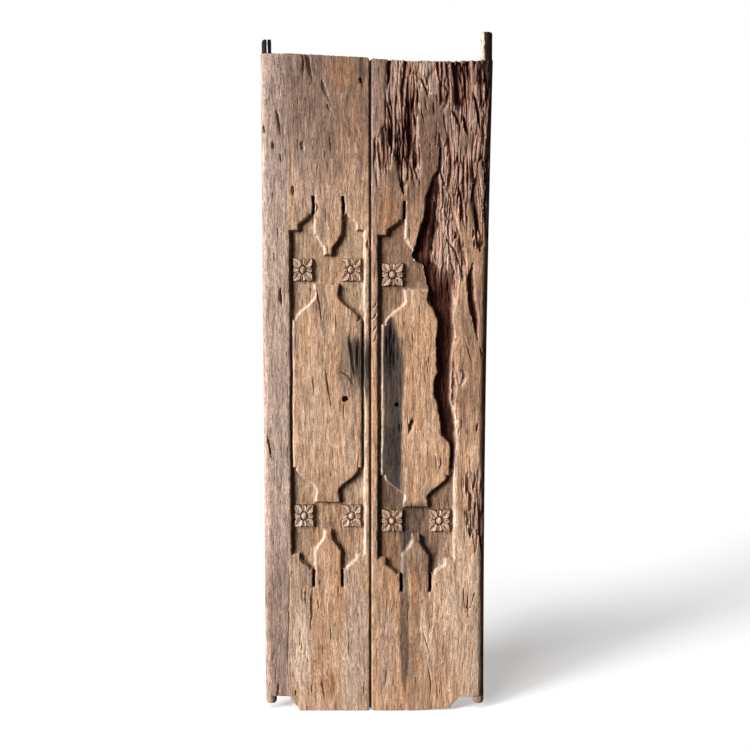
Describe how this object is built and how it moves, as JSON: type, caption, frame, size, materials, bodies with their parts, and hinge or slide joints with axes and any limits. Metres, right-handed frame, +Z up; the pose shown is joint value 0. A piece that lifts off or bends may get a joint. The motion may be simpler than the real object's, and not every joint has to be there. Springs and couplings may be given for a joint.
{
  "type": "pair of carved window leaves",
  "caption": "Pair of old solid-plank window leaves with round pivots at the outer corners, sunk carved panels, cartouches and rosettes; one leaf is deeply weathered.",
  "frame": {"origin": "bottom centre of the pair's bounding box, on the floor", "axes": "+Z up along the planks, -Y out of the carved fronts, +X from the left leaf to the right leaf"},
  "size_m": [0.467, 0.034, 1.396],
  "materials": {
    "teak": "dry and greyed",
    "weathered_teak": "dry and eroded along the grain"
  },
  "bodies": {
    "root": {"left_leaf": "teak", "right_leaf": "weathered_teak"}
  },
  "joints": []
}
